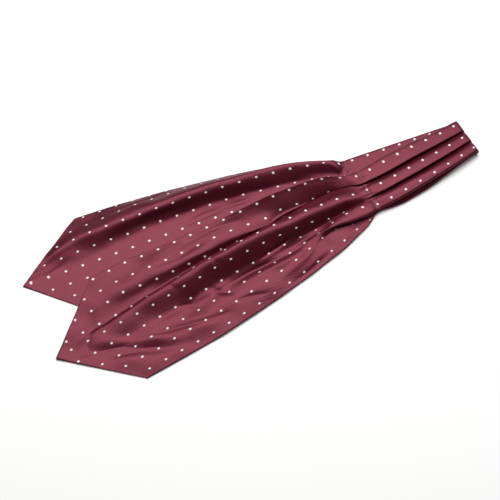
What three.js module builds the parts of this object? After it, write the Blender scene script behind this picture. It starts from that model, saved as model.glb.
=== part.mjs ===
// A pleated silk day cravat, folded in half at the middle of its neckband and laid flat on a table.
// The two pointed blades fan out from the fold, the front one lying partly on the back one.
// Millimetres, +Z up. The table is Z = 0, +X runs along the cravat towards the fold, and the
// origin lies under the middle of the whole.
import * as THREE from 'three';

// Driving dimensions
const CLOTH = 1.0;            // thickness of the wall: the silk, its interlining and its own back
const SEAM_GAP = 0.3;         // clearance where two pieces meet
const TACK = 166;             // distance from the fold end to the stitches of the front pleats
const BACK_TACK = 174;        // the same for the back half, which was folded to reach further
const FOLD_END = 1.7;         // the outermost point of the fold, from the point where the halves' axes meet
const FOLD_DEPTH = 5.8;       // how far the fold reaches out past the straight neckband
const SWING = THREE.MathUtils.degToRad(5.14); // each half is turned this much from the middle line
const PLEAT_DEPTH = 16;       // how far each pleat runs back under the strip above it
const BACK_BAND_TOP = 5.3;    // height of the back half's pressed pleats
const BAND_FLOOR = 6.1;       // lowest ply of the front half's neckband, where it lies on the back half
const STRIP_EDGE_RISE = 4;    // height of the strips' long edges above that lowest ply
const PUFF = 1.4;             // how far each strip bulges up between its long edges
const FAN_START = 505;        // from here the cross sections fan out to the pointed end
const RELEASE = 58;           // length over which the pressed pleats open into loose folds

// The folds' places across were read on the table plane along a line of sight that leans back,
// so a point that stands up lies this share of its height nearer the lower side.
const FRONT_LEAN = 0.489;
const BACK_LEAN = 0.535;

// Height from one pressed ply to the next: tight at the fold and at the stitches, fuller between.
const PLY_PITCH = [[0, 1.15], [40, 1.45], [100, 1.6], [145, 1.45], [166, 1.2]];

const SILK = new THREE.MeshStandardMaterial({ color: 0x8a3446, roughness: 0.42, metalness: 0.0 });

// The long edges of the three pressed strips of the neckband, along the distance from the fold.
const STRIP_EDGES = [
  { name: 'top edge', across: [[0, 27], [44, 26], [107, 28], [163, 27.5]] },
  { name: 'first pleat edge', across: [[0, 9.5], [80, 10.5], [163, 8.5]] },
  { name: 'second pleat edge', across: [[0, -8.7], [86, -8], [163, -11]] },
  { name: 'third pleat edge', across: [[0, -27], [106, -27.5], [163, -32]] },
];

// Width of the last ply that hangs out below the third strip, and how far it droops.
const HEM_FLAP = [[0, 0.3], [28, 0.6], [60, 3], [100, 6], [138, 5], [163, 0.6]];
const HEM_DROOP = 1.6;
const HEM_DROOP_SHARE = 0.25;

// Past the edge of the back half the front neckband sinks towards the table at this slope.
const SINK = { from: 4, reach: 34, slope: 0.15 };

// The long edges of the back half's pressed pleats.
const BACK_BAND_EDGES = {
  upper: [[0, 23.5], [40, 22.5], [146, 22.5], [163, 23]],
  lower: [[0, -31], [163, -30]],
};

// The front blade's folds from the upper edge to the lower one. Each row is one crease line:
// its place across and its height, both along the distance from the fold.
const FRONT_FOLDS = [
  {
    name: 'upper edge',
    across: [[163, 26], [185, 36], [204, 46], [226, 52.5], [249, 56.5], [271, 59.5], [300, 62],
      [343, 63.5], [411, 67.5], [450, 71], [491, 76], [532, 76.5], [600, 76.5]],
    height: [[163, 9], [200, 10.5], [250, 10], [300, 7], [350, 5], [400, 4], [540, 3.2]],
  },
  {
    name: 'first roll',
    across: [[163, 20], [210, 36], [250, 45], [300, 49], [350, 51], [400, 54], [450, 58], [500, 62],
      [545, 58], [580, 34]],
    height: [[163, 9.4], [185, 12], [210, 14], [250, 14], [300, 12], [350, 9], [400, 7], [450, 5.5],
      [500, 4.5], [545, 3.6]],
  },
  {
    name: 'first lip',
    across: [[163, 9], [182, 17], [198, 21], [210, 24], [242, 25], [274, 27], [290, 26], [303, 22],
      [318, 25], [342, 28], [393, 31], [437, 36], [461, 36], [487, 35], [510, 40], [560, 38], [590, 27]],
    height: [[163, 8.5], [185, 10], [210, 11], [250, 10], [290, 9], [320, 7], [350, 6], [400, 4.6],
      [450, 3.8], [500, 3.4]],
  },
  {
    name: 'first hollow',
    across: [[163, 24], [200, 25], [250, 24.5], [300, 22.5], [345, 26.5], [400, 27], [450, 27],
      [500, 28], [545, 29], [585, 22]],
    height: [[163, 7], [185, 5.6], [210, 4.4], [250, 3.4], [300, 2.8], [350, 2.4], [545, 2.2]],
  },
  {
    name: 'back of the main ridge',
    across: [[163, 8], [185, 9], [210, 12.5], [250, 17], [300, 20.8], [350, 23], [400, 24],
      [450, 21.5], [500, 20.5], [545, 18.5], [590, 13]],
    height: [[163, 7.5], [185, 8.5], [210, 11], [250, 14], [300, 15.5], [350, 15.5], [400, 14],
      [450, 10], [500, 6], [545, 3.6]],
  },
  {
    name: 'crest of the main ridge',
    across: [[163, 1], [182, 7], [200, 9], [230, 12], [250, 13.4], [274, 16], [299, 17.4], [323, 19],
      [388, 20], [417, 17], [462, 14], [487, 12], [518, 9], [553, 4], [590, 1], [622, 0.4]],
    height: [[163, 8.5], [185, 10], [210, 13], [250, 17], [300, 19], [350, 19], [400, 17.5],
      [450, 13], [500, 8.5], [545, 4.5], [580, 2.6], [622, 1.2]],
  },
  {
    name: 'foot of the main ridge',
    across: [[163, -11], [186, -9], [211, -7.5], [239, -9.5], [257, -11.5], [303, -11.5], [350, -13],
      [395, -13.5], [439, -14.5], [485, -16.5], [520, -18], [570, -17.5], [600, -13]],
    height: [[163, 8], [185, 8], [210, 8], [250, 7], [300, 6], [350, 5], [400, 4.2], [450, 3.4],
      [500, 2.6], [545, 2], [600, 1]],
  },
  {
    name: 'second hollow',
    across: [[163, 0], [185, -7], [210, -13], [250, -18], [300, -20], [350, -23.5], [400, -26],
      [450, -28], [500, -30], [545, -29], [590, -22]],
    height: [[163, 6], [185, 4.5], [210, 3.6], [250, 3.2], [300, 3], [350, 2.6], [400, 2.3],
      [500, 1.8], [590, 0.9]],
  },
  {
    name: 'lower ridge',
    across: [[163, -18], [185, -18], [210, -20], [247, -21.5], [272, -25], [300, -30], [350, -35],
      [400, -39], [450, -41], [500, -43], [545, -42], [580, -31]],
    height: [[163, 5.5], [185, 8.5], [210, 11.5], [240, 11.5], [262, 8], [300, 6], [350, 5.5],
      [400, 5], [450, 4], [500, 3], [580, 1.2]],
  },
  {
    name: 'third hollow',
    across: [[163, -31], [185, -32], [210, -30], [235, -28], [250, -29], [300, -39], [350, -45],
      [400, -49], [450, -51], [500, -52], [545, -50], [570, -39]],
    height: [[163, 4.5], [185, 3], [210, 2.6], [240, 3], [260, 5], [300, 6], [350, 6], [400, 5.5],
      [450, 4.5], [500, 3.2], [570, 1.2]],
  },
  {
    name: 'panel',
    across: [[163, -19], [185, -35], [210, -35], [250, -43], [300, -49], [350, -55], [400, -59],
      [450, -61], [500, -61.5], [560, -46]],
    height: [[163, 3.4], [185, 3.6], [210, 5], [250, 6.5], [300, 6.5], [350, 5.6], [400, 5],
      [450, 4], [500, 3], [560, 1.2]],
  },
  {
    name: 'swell by the lower edge',
    across: [[163, -26], [185, -36.5], [209, -41.5], [229, -47.5], [249, -53], [271, -56.5],
      [300, -61], [350, -66.5], [400, -70], [450, -72], [500, -72.5], [550, -58]],
    height: [[163, 2], [185, 3], [210, 4], [250, 4.5], [300, 4], [350, 3.4], [400, 3], [450, 2.6],
      [500, 2.2], [550, 1.2]],
  },
  {
    name: 'lower edge',
    across: [[163, -34], [176, -37.5], [194, -46], [209, -50], [239, -58], [268, -62.5], [295, -67],
      [322, -70], [347, -73], [396, -77], [444, -80], [534, -80.5], [600, -80.5]],
    height: [[163, 1.2], [200, 0.8], [600, 0.5]],
  },
];

// The back blade's folds in the same way. Below its foot it lies flat under the front blade.
const BACK_FOLDS = [
  {
    name: 'upper edge',
    across: [[163, 21], [200, 31], [240, 44], [280, 53.5], [320, 59], [350, 62], [382, 65], [415, 68],
      [448, 69.5], [480, 71], [531, 71.5], [600, 71.5]],
    height: [[163, 2], [200, 1], [240, 0.5], [600, 0.5]],
  },
  {
    name: 'far slope',
    across: [[163, 23.5], [190, 30.5], [220, 40], [280, 52], [330, 58], [400, 62], [450, 62], [500, 58.5],
      [540, 52], [575, 35]],
    height: [[163, 4], [190, 5.5], [220, 7], [280, 8], [330, 9], [400, 9], [450, 8], [500, 6],
      [540, 4.5], [575, 2.5]],
  },
  {
    name: 'crest',
    across: [[163, 23.5], [190, 31], [211, 38.5], [239, 45.5], [272, 51], [311, 52.5], [357, 54],
      [415, 54], [450, 49.5], [500, 45], [543, 40], [573, 30], [592, 18]],
    height: [[163, 5], [190, 9], [220, 13], [260, 15.5], [300, 17], [400, 17], [450, 16], [500, 13],
      [543, 9.5], [573, 5.5], [592, 2.5]],
  },
  {
    name: 'near slope',
    across: [[163, 18], [200, 30], [240, 38], [288, 42.7], [335, 44.9], [380, 46], [450, 42.5],
      [500, 37], [540, 32], [570, 24], [598, 13]],
    height: [[163, 4.8], [200, 8.5], [250, 12], [300, 13.4], [400, 13.4], [450, 12], [500, 9],
      [540, 6.5], [570, 3.8], [598, 1.6]],
  },
  {
    name: 'middle of the near slope',
    across: [[163, 11], [190, 18], [213, 21], [247, 25], [281, 29], [317, 33], [351, 34.5], [420, 35.5],
      [467, 31], [515, 22.5], [560, 16], [603, 9]],
    height: [[163, 4.7], [200, 5.5], [250, 7], [300, 8], [400, 8], [450, 6.8], [500, 4.8], [540, 3.4],
      [603, 1.2]],
  },
  {
    name: 'foot',
    across: [[163, 6], [200, 11], [240, 17], [281, 21.5], [317, 25], [351, 26], [420, 25], [467, 21],
      [515, 13.5], [560, 8], [610, 5]],
    height: [[163, 4.6], [200, 3.6], [250, 3], [300, 2.6], [400, 2.1], [500, 1.5], [560, 1.1],
      [610, 0.8]],
  },
  {
    name: 'middle',
    across: [[163, 0], [200, 1], [250, 3], [300, 4], [400, 4], [500, 2], [560, 1], [621, 0.4]],
    height: [[163, 4.4], [200, 2.8], [240, 1.9], [300, 1.3], [400, 0.9], [621, 0.5]],
  },
  {
    name: 'hidden quarter',
    across: [[163, -9], [200, -14], [250, -22], [300, -26], [400, -30], [500, -33], [560, -32],
      [595, -20]],
    height: [[163, 3.6], [185, 1.6], [210, 0.8], [250, 0.5], [600, 0.5]],
  },
  {
    name: 'hidden lower part',
    across: [[163, -18], [200, -30], [250, -40], [300, -48], [400, -56], [500, -60], [560, -48]],
    height: [[163, 2.4], [185, 1], [210, 0.5], [600, 0.5]],
  },
  {
    name: 'lower edge',
    across: [[163, -27], [200, -45], [239, -58], [268, -62], [322, -70], [396, -77], [444, -80],
      [536, -80], [600, -80]],
    height: [[163, 1.4], [185, 0.7], [210, 0.5], [600, 0.5]],
  },
];

// The pointed ends: the corners and the tip, as distance from the fold and place across.
const FRONT_POINT = { upper: [532, 76.2], tip: [622, 0], lower: [541, -80.2] };
const BACK_POINT = { upper: [530.5, 71.2], tip: [621, 0], lower: [535, -79.7] };

// A smooth value along a short table of [distance, value] rows, with no overshoot between them.
function along(table, distance) {
  const last = table.length - 1;
  if (distance <= table[0][0]) return table[0][1];
  if (distance >= table[last][0]) return table[last][1];
  let i = 0;
  while (distance > table[i + 1][0]) i += 1;
  const slope = (j) => (table[j + 1][1] - table[j][1]) / (table[j + 1][0] - table[j][0]);
  const tangent = (j) => {
    if (j === 0 || j === last) return slope(Math.min(j, last - 1));
    const before = slope(j - 1);
    const after = slope(j);
    return before * after <= 0 ? 0 : (2 * before * after) / (before + after);
  };
  const span = table[i + 1][0] - table[i][0];
  const t = (distance - table[i][0]) / span;
  const rise = t * t * (3 - 2 * t);
  return table[i][1] * (1 - rise) + table[i + 1][1] * rise
    + span * t * (1 - t) * (tangent(i) * (1 - t) - tangent(i + 1) * t);
}

// A cross section of a blade: one smooth curve through all its folds. Place counts the folds.
function looseSection(folds, lean, distance) {
  const points = folds.map((fold) => {
    const height = along(fold.height, distance);
    return new THREE.Vector3(along(fold.across, distance) - lean * height, height, 0);
  });
  const curve = new THREE.CatmullRomCurve3(points, false, 'centripetal');
  return (place) => curve.getPoint(place / (folds.length - 1));
}

// A cross section of the pressed neckband: seven plies that turn back on each other, in three strips.
// Place counts the same folds as the front blade's table, so that the two sections meet.
const HALF_TURN = 0.1;
const LOWER_TURNS = [2, 6, 9];
const UPPER_TURNS = [3, 7, 10];
const HEM = 11;
function pressedSection(distance) {
  const pitch = along(PLY_PITCH, distance);
  const turn = pitch / 2;
  const lean = FRONT_LEAN * (BAND_FLOOR + STRIP_EDGE_RISE);
  const edges = STRIP_EDGES.map((edge) => along(edge.across, distance) - lean);
  const flap = along(HEM_FLAP, distance);
  const backEdge = edges[3] + 2 * Math.sin(SWING) * distance;
  const ply = (strip, layer, across) => {
    const inner = edges[strip] + PLEAT_DEPTH;
    const climb = (2 * pitch) / (edges[1] - edges[2]);
    return BAND_FLOOR + climb * Math.max(0, inner - across) + layer * pitch;
  };
  // Each stretch: from place, to place, from across, to across, strip and layer, or a turn.
  const stretches = [];
  const run = (from, to, start, end, strip, layer) => {
    stretches.push({ from, to, start, end, strip, layer });
  };
  run(0, 2 - HALF_TURN, edges[0], edges[1] + turn, 1, 2);
  run(2 + HALF_TURN, 3 - HALF_TURN, edges[1] + turn, edges[1] + PLEAT_DEPTH - turn, 1, 1);
  run(3 + HALF_TURN, 4, edges[1] + PLEAT_DEPTH - turn, edges[1], 1, 0);
  run(4, 6 - HALF_TURN, edges[1], edges[2] + turn, 1, 0);
  run(6 + HALF_TURN, 7 - HALF_TURN, edges[2] + turn, edges[2] + PLEAT_DEPTH - turn, 2, 1);
  run(7 + HALF_TURN, 9 - HALF_TURN, edges[2] + PLEAT_DEPTH - turn, edges[3] + turn, 2, 0);
  run(9 + HALF_TURN, 10 - HALF_TURN, edges[3] + turn, edges[3] + PLEAT_DEPTH - turn, 3, 1);
  run(10 + HALF_TURN, HEM, edges[3] + PLEAT_DEPTH - turn, edges[3], 3, 0);
  // The showing part of a strip bulges between the edge above it and its own.
  const bulge = (place, across) => {
    const strip = LOWER_TURNS.findIndex((turned) => place < turned);
    if (strip < 0 || UPPER_TURNS[strip - 1] > place) return 0;
    const share = (edges[strip] - across) / (edges[strip] - edges[strip + 1]);
    return share <= 0 ? 0 : PUFF * 4 * share * Math.max(0, 1 - share);
  };
  const onRun = (stretch, place) => {
    const t = (place - stretch.from) / (stretch.to - stretch.from);
    const across = THREE.MathUtils.lerp(stretch.start, stretch.end, t);
    const height = ply(stretch.strip, stretch.layer, across) + bulge(place, across);
    return new THREE.Vector3(across, height, 0);
  };
  const settle = (point) => {
    const overhang = THREE.MathUtils.clamp(backEdge - SINK.from - point.x, 0, SINK.reach);
    point.y -= SINK.slope * overhang;
    return point;
  };
  return (place) => {
    const found = stretches.find((stretch) => place >= stretch.from && place <= stretch.to);
    if (found) return settle(onRun(found, place));
    if (place > HEM) {
      const t = place - HEM;
      const start = onRun(stretches[stretches.length - 1], HEM);
      const droop = HEM_DROOP + HEM_DROOP_SHARE * flap;
      return settle(new THREE.Vector3(start.x - flap * t, start.y - droop * t, 0));
    }
    const middle = Math.round(place);
    const before = onRun(stretches.find((stretch) => stretch.to === middle - HALF_TURN), middle - HALF_TURN);
    const after = onRun(stretches.find((stretch) => stretch.from === middle + HALF_TURN), middle + HALF_TURN);
    const angle = Math.PI * (place - middle + HALF_TURN) / (2 * HALF_TURN);
    const outward = LOWER_TURNS.includes(middle) ? -1 : 1;
    const across = (before.x + after.x) / 2 + outward * turn * Math.sin(angle);
    const height = (before.y + after.y) / 2 + ((before.y - after.y) / 2) * Math.cos(angle);
    return settle(new THREE.Vector3(across, height, 0));
  };
}

// The front half at any distance: pressed pleats up to the stitches, which open into loose folds.
function frontSection(distance) {
  const opening = THREE.MathUtils.smoothstep(distance, TACK - 2, TACK + RELEASE);
  const pressed = pressedSection(Math.min(distance, TACK + RELEASE));
  const loose = looseSection(FRONT_FOLDS, FRONT_LEAN, distance);
  return (place) => pressed(place).lerp(loose(place), opening);
}

function backSection(distance) {
  return looseSection(BACK_FOLDS, BACK_LEAN, distance);
}

// From a half's own frame, distance from the fold and place across, to the part's frame.
function toPart(distance, across, height, swing) {
  const x = -distance * Math.cos(swing) - across * Math.sin(swing);
  const y = -distance * Math.sin(swing) + across * Math.cos(swing);
  return new THREE.Vector3(x, y, height);
}

// Where the pointed end cuts a thread that lies this far across.
function pointOutline(point, across) {
  const corner = across > point.tip[1] ? point.upper : point.lower;
  const share = THREE.MathUtils.clamp(across / corner[1], 0, 1);
  return THREE.MathUtils.lerp(point.tip[0], corner[0], share);
}

// The distance at which the fold counted by place reaches the pointed end.
const TRIES = 14;
function lengthAt(section, point, place) {
  let distance = point.upper[0];
  for (let step = 0; step < TRIES; step += 1) {
    distance = (distance + pointOutline(point, section(distance)(place).x)) / 2;
  }
  return distance;
}

// A row of wall points: the cross section, and the same moved in by the thickness of the cloth.
function wallRow(section, distances, places, swing) {
  const line = places.map((place, i) => section(distances[i])(place));
  const outer = [];
  const inner = [];
  line.forEach((point, i) => {
    const before = point.clone().sub(line[Math.max(0, i - 1)]).normalize();
    const after = line[Math.min(line.length - 1, i + 1)].clone().sub(point).normalize();
    const forward = before.add(after).normalize();
    const side = new THREE.Vector3(forward.y, -forward.x, 0).multiplyScalar(CLOTH / 2);
    outer.push(toPart(distances[i], point.x + side.x, Math.max(CLOTH, point.y + side.y), swing));
    inner.push(toPart(distances[i], point.x - side.x, Math.max(0, point.y - side.y), swing));
  });
  return { outer, inner };
}

// A closed wall through rows of points, outer and inner, with its four edges sewn shut.
function closedWall(rows) {
  const columns = rows[0].outer.length;
  const positions = [];
  rows.forEach((row) => {
    row.outer.concat(row.inner).forEach((point) => positions.push(point.x, point.y, point.z));
  });
  const outer = (row, column) => row * 2 * columns + column;
  const inner = (row, column) => outer(row, column) + columns;
  const index = [];
  const quad = (a, b, c, d) => index.push(a, b, c, a, c, d);
  const lastRow = rows.length - 1;
  const lastColumn = columns - 1;
  for (let row = 0; row < lastRow; row += 1) {
    for (let column = 0; column < lastColumn; column += 1) {
      quad(outer(row, column), outer(row + 1, column), outer(row + 1, column + 1), outer(row, column + 1));
      quad(inner(row, column), inner(row, column + 1), inner(row + 1, column + 1), inner(row + 1, column));
    }
    quad(outer(row, 0), inner(row, 0), inner(row + 1, 0), outer(row + 1, 0));
    quad(outer(row, lastColumn), outer(row + 1, lastColumn), inner(row + 1, lastColumn), inner(row, lastColumn));
  }
  for (let column = 0; column < lastColumn; column += 1) {
    quad(outer(0, column), outer(0, column + 1), inner(0, column + 1), inner(0, column));
    quad(outer(lastRow, column), inner(lastRow, column), inner(lastRow, column + 1), outer(lastRow, column + 1));
  }
  const geometry = new THREE.BufferGeometry();
  geometry.setAttribute('position', new THREE.Float32BufferAttribute(positions, 3));
  geometry.setIndex(index);
  geometry.computeVertexNormals();
  return geometry;
}

// A closed solid through rows of outlines that run the same way round, with both ends capped.
// Flatten looks at an outline from the first row's side.
function closedLoft(rows, flatten) {
  const count = rows[0].length;
  const positions = rows.flat().flatMap((point) => [point.x, point.y, point.z]);
  const index = [];
  for (let row = 0; row < rows.length - 1; row += 1) {
    for (let i = 0; i < count; i += 1) {
      const a = row * count + i;
      const b = row * count + ((i + 1) % count);
      index.push(a, b + count, b, a, a + count, b + count);
    }
  }
  [0, rows.length - 1].forEach((row) => {
    THREE.ShapeUtils.triangulateShape(rows[row].map(flatten), []).forEach(([a, b, c]) => {
      const corners = row === 0 ? [a, b, c] : [a, c, b];
      index.push(...corners.map((corner) => row * count + corner));
    });
  });
  const geometry = new THREE.BufferGeometry();
  geometry.setAttribute('position', new THREE.Float32BufferAttribute(positions, 3));
  geometry.setIndex(index);
  geometry.computeVertexNormals();
  return geometry;
}

// Places along a section: every fold, points between folds, and three points round each pressed turn.
function placesAcross(foldCount, turns, between) {
  const places = [];
  for (let fold = 0; fold < foldCount; fold += 1) {
    if (turns.includes(fold)) places.push(fold - HALF_TURN, fold, fold + HALF_TURN);
    else places.push(fold);
    if (fold === foldCount - 1) break;
    for (let i = 1; i <= between(fold); i += 1) places.push(fold + i / (between(fold) + 1));
  }
  return places;
}

// The tallest slope of the front blade and the showing folds of the back one get a point more.
const MAIN_CREST = 5;
const FIRST_HIDDEN = 6;
const FRONT_PLACES = placesAcross(FRONT_FOLDS.length, LOWER_TURNS.concat(UPPER_TURNS),
  (fold) => (fold === MAIN_CREST ? 2 : 1));
const BACK_PLACES = placesAcross(BACK_FOLDS.length, [], (fold) => (fold < FIRST_HIDDEN ? 2 : 1));

// Distances of the cross sections: closer together where the pleats open, then even.
function stations(start, steps) {
  const list = [start];
  steps.forEach(([step, end]) => {
    while (list[list.length - 1] + step <= end) list.push(list[list.length - 1] + step);
  });
  return list;
}

// A blade: straight cross sections up to the fan, then sections that spread into the point.
function blade(name, section, point, places, straight, fanRows, swing) {
  const ends = places.map((place) => lengthAt(section, point, place));
  const rows = straight.map((distance) => wallRow(section, places.map(() => distance), places, swing));
  const from = straight[straight.length - 1];
  for (let row = 1; row <= fanRows; row += 1) {
    const distances = ends.map((end) => THREE.MathUtils.lerp(from, end, row / fanRows));
    rows.push(wallRow(section, distances, places, swing));
  }
  const mesh = new THREE.Mesh(closedWall(rows), SILK);
  mesh.name = name;
  return mesh;
}

// The straight neckband starts on one line across both halves, where the fold ends. From
// SQUARE_FROM on, its cross sections stand square to its own half.
const BAND_START = FOLD_END + FOLD_DEPTH;
const SQUARE_FROM = 60;
const FRONT_BAND_STEP = 13;
const BACK_BAND_STEP = 26;
function bandDistance(distance, across, swing) {
  const onLine = (BAND_START + SEAM_GAP - across * Math.sin(swing)) / Math.cos(swing);
  const squared = THREE.MathUtils.clamp((distance - BAND_START) / (SQUARE_FROM - BAND_START), 0, 1);
  return THREE.MathUtils.lerp(onLine + distance - BAND_START, distance, squared);
}

// The front half's neckband: a pressed wall of seven plies.
function frontNeckband() {
  const distances = stations(BAND_START, [[FRONT_BAND_STEP, TACK - FRONT_BAND_STEP / 2]]);
  distances.push(TACK - SEAM_GAP / 2);
  const rows = distances.map((distance) => {
    const section = frontSection(distance);
    const own = FRONT_PLACES.map((place) => bandDistance(distance, section(place).x, SWING));
    return wallRow(frontSection, own, FRONT_PLACES, SWING);
  });
  const mesh = new THREE.Mesh(closedWall(rows), SILK);
  mesh.name = 'front_neckband';
  return mesh;
}

// The back half's neckband: its pressed plies share one solid, with the three layers at its edges.
// Each layer's edge is flat between the two shares and dips inward between layers.
const LAYERS = 3;
const EDGE_ROUND = 0.9;
const EDGE_FLAT = [0.25, 0.75];
function backBandOutline(distance) {
  const layer = BACK_BAND_TOP / LAYERS;
  const layeredEdge = (edge, inward) => {
    const points = [[edge + inward * EDGE_ROUND, 0]];
    for (let level = 0; level < LAYERS; level += 1) {
      EDGE_FLAT.forEach((share) => points.push([edge, (level + share) * layer]));
      points.push([edge + inward * EDGE_ROUND, (level + 1) * layer]);
    }
    return points;
  };
  const upper = layeredEdge(along(BACK_BAND_EDGES.upper, distance), -1);
  const lower = layeredEdge(along(BACK_BAND_EDGES.lower, distance), 1);
  return upper.concat(lower.reverse());
}

function backNeckband() {
  const distances = stations(BAND_START, [[BACK_BAND_STEP, BACK_TACK - BACK_BAND_STEP / 2]]);
  distances.push(BACK_TACK - SEAM_GAP / 2);
  const rows = distances.map((distance) => backBandOutline(distance).map(([across, height]) => (
    toPart(bandDistance(distance, across, -SWING), across, height, -SWING)
  )));
  const mesh = new THREE.Mesh(closedLoft(rows, (point) => new THREE.Vector2(point.y, point.z)), SILK);
  mesh.name = 'back_neckband';
  return mesh;
}

// The fold at the neckband's end: the three strips turned over on one rounded core.
const FOLD_STEPS = 10;
const FOLD_MIDDLE = BACK_BAND_TOP + SEAM_GAP / 2;
const STRIP_STEP = 0.4;
function neckFold() {
  const distance = BAND_START;
  const section = pressedSection(distance);
  const half = CLOTH / 2;
  const top = (place) => new THREE.Vector2(section(place).x, section(place).y + half);
  const nose = LOWER_TURNS.map((place) => top(place - HALF_TURN));
  const under = (edge, next) => new THREE.Vector2(edge.x - STRIP_STEP, next.y);
  const profile = [
    top(0),
    top(1),
    nose[0],
    under(nose[0], top(4)),
    top(5),
    nose[1],
    under(nose[1], top(7.5)),
    top(8),
    nose[2],
  ];
  const rows = profile.map(({ x: across, y: height }) => {
    const row = [];
    for (let i = 0; i <= FOLD_STEPS; i += 1) {
      const angle = (Math.PI * i) / FOLD_STEPS;
      const flat = THREE.MathUtils.smoothstep(angle, Math.PI * 0.5, Math.PI);
      const radius = THREE.MathUtils.lerp(height - FOLD_MIDDLE, FOLD_MIDDLE, flat);
      const reach = Math.min(radius, FOLD_DEPTH) * Math.sin(angle);
      row.push(new THREE.Vector3(reach - BAND_START, across, FOLD_MIDDLE + radius * Math.cos(angle)));
    }
    return row;
  });
  const mesh = new THREE.Mesh(closedLoft(rows, (point) => new THREE.Vector2(-point.x, point.z)), SILK);
  mesh.name = 'neck_fold';
  return mesh;
}

// Each stretch of stations: the step and the distance where it ends.
const FRONT_STATIONS = stations(TACK + SEAM_GAP / 2, [[7, 262], [12, 300], [17, FAN_START]]);
const BACK_STATIONS = stations(BACK_TACK + SEAM_GAP / 2, [[14, 280], [24, FAN_START]]);
const FRONT_FAN_ROWS = 6;
const BACK_FAN_ROWS = 5;

const group = new THREE.Group();
group.add(blade('front_blade', frontSection, FRONT_POINT, FRONT_PLACES, FRONT_STATIONS, FRONT_FAN_ROWS,
  SWING));
group.add(blade('back_blade', backSection, BACK_POINT, BACK_PLACES, BACK_STATIONS, BACK_FAN_ROWS,
  -SWING));
group.add(frontNeckband());
group.add(backNeckband());
group.add(neckFold());

const middle = new THREE.Box3().setFromObject(group).getCenter(new THREE.Vector3());
group.children.forEach((mesh) => mesh.geometry.translate(-middle.x, -middle.y, 0));

export default group;
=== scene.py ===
# A pleated silk day cravat, folded in half at the middle of its neckband and laid flat.
# Sizes are in millimetres until a mesh is made. Distance runs from the fold to the blades' points,
# across runs over the cloth, and cloth counts the width of the flat silk from its upper edge.
import math

import bpy
import numpy as np
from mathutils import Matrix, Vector


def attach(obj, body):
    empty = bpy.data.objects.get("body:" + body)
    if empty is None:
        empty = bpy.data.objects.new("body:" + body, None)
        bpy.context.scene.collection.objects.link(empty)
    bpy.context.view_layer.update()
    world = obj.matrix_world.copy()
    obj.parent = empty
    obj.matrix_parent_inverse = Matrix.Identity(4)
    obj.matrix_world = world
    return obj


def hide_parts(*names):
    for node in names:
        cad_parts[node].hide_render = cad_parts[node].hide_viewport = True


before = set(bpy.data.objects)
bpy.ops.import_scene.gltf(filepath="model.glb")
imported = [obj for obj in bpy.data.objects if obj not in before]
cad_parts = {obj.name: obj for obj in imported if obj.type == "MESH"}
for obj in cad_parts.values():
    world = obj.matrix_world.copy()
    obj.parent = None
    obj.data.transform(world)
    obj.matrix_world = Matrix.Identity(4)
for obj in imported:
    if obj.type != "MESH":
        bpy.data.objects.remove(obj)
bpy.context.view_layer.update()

MM = 0.001
MIDDLE = (-310.4975, -5.1830)      # the point of the fold's own frame that lies over the part's origin
SWING = math.radians(5.14)         # each half is turned this much from the middle line
SILK_WALL = 0.9                    # the silk, its interlining and its own back
HEM_EXTRA = 0.5                    # the turned-in edge is this much thicker
HEM_WIDTH = 3.0
BAND_START = 7.5                   # the straight neckband starts here, past the fold
SQUARE_FROM = 60.0                 # from here the cross sections are square to their own half
TACK = 166.0                       # the stitches that hold the front pleats
BACK_TACK = 174.0
OPEN_BEFORE = 2.0                  # the pleats begin to open this far before the stitches
RELEASE = 18.0                     # and are loose folds this far past them, on the front half
BACK_RELEASE = 12.0
FAN_START = 505.0                  # the mesh's rows turn toward the blade's point from here
FOLD_REACH = 6.0                   # how far the turned-over end reaches past the neckband
PLY_REACH_SHARE = 0.15             # the inner plies reach up to this share of it less far
FOLD_MIDDLE = 5.45                 # height of the middle of the fold
PLEAT_DEPTH = 16.0
BAND_FLOOR = 6.1                   # lowest ply of the front neckband, on the back one
FRONT_LEAN = 0.489                 # share of its height by which a raised point seems further across
BACK_LEAN = 0.535
FRONT_SLIDE = 0.307                # and by which it seems nearer to the fold
DOT_ALONG = 22.8                   # spacing of the dots, as printed on the flat silk
DOT_ACROSS = 20.0
DOT_HALF = (1.65, 1.4)             # half of a dot's size, along and across
FRONT_DOT_PHASE = 528.0
BACK_DOT_PHASE = 517.5
FIRST_DOT_ROW = 3.0
FRONT_SPACING = 1.25               # of the mesh's columns, over the cloth
BACK_SPACING = 1.3
FRONT_PROBES = (80, 250, 420)      # cross sections at which the columns are spread
BACK_PROBES = (100, 250, 420)
PROBE_STEPS = 24                   # samples for each knot when a cross section is measured
ROW_STEP = {"band": 2.2, "tack": 0.8, "blade": 2.8}
TACK_REACH = 16.0                  # the close rows run this far to both sides of the stitches
FAN_ROWS = 44                      # rows of the mesh in a blade's point
END_STEPS = 14                     # of averaging, to find where each thread meets the point's edge
WRAP_STEPS = 16                    # rows of the mesh round the fold

# The silk is taken up a little at the stitches, and slides by this much along each half.
FRONT_EASE = [(8, 9.0), (30, 8.3), (60, 7.9), (140, 7.4), (163, 5.0), (186, 1.3), (254, 1.0), (300, 1.8),
              (345, 3.8), (391, 5.2), (528, 3.8)]
BACK_EASE = [(62, 7.3), (107, 7.6), (153, 8.7), (175, 5.7), (198, 1.5), (221, 0.3), (244, 0.6),
             (290, 1.4), (335, 2.8), (500, 2.2), (563, 1.0)]
# The lowest strip's cloth lies a little askew in its pleat.
LOWER_STRIP_SKEW = [(8, -5.8), (31, -4.9), (54, -3.0), (76, -2.1), (100, -1.3), (121, -0.6), (150, 0)]

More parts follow.
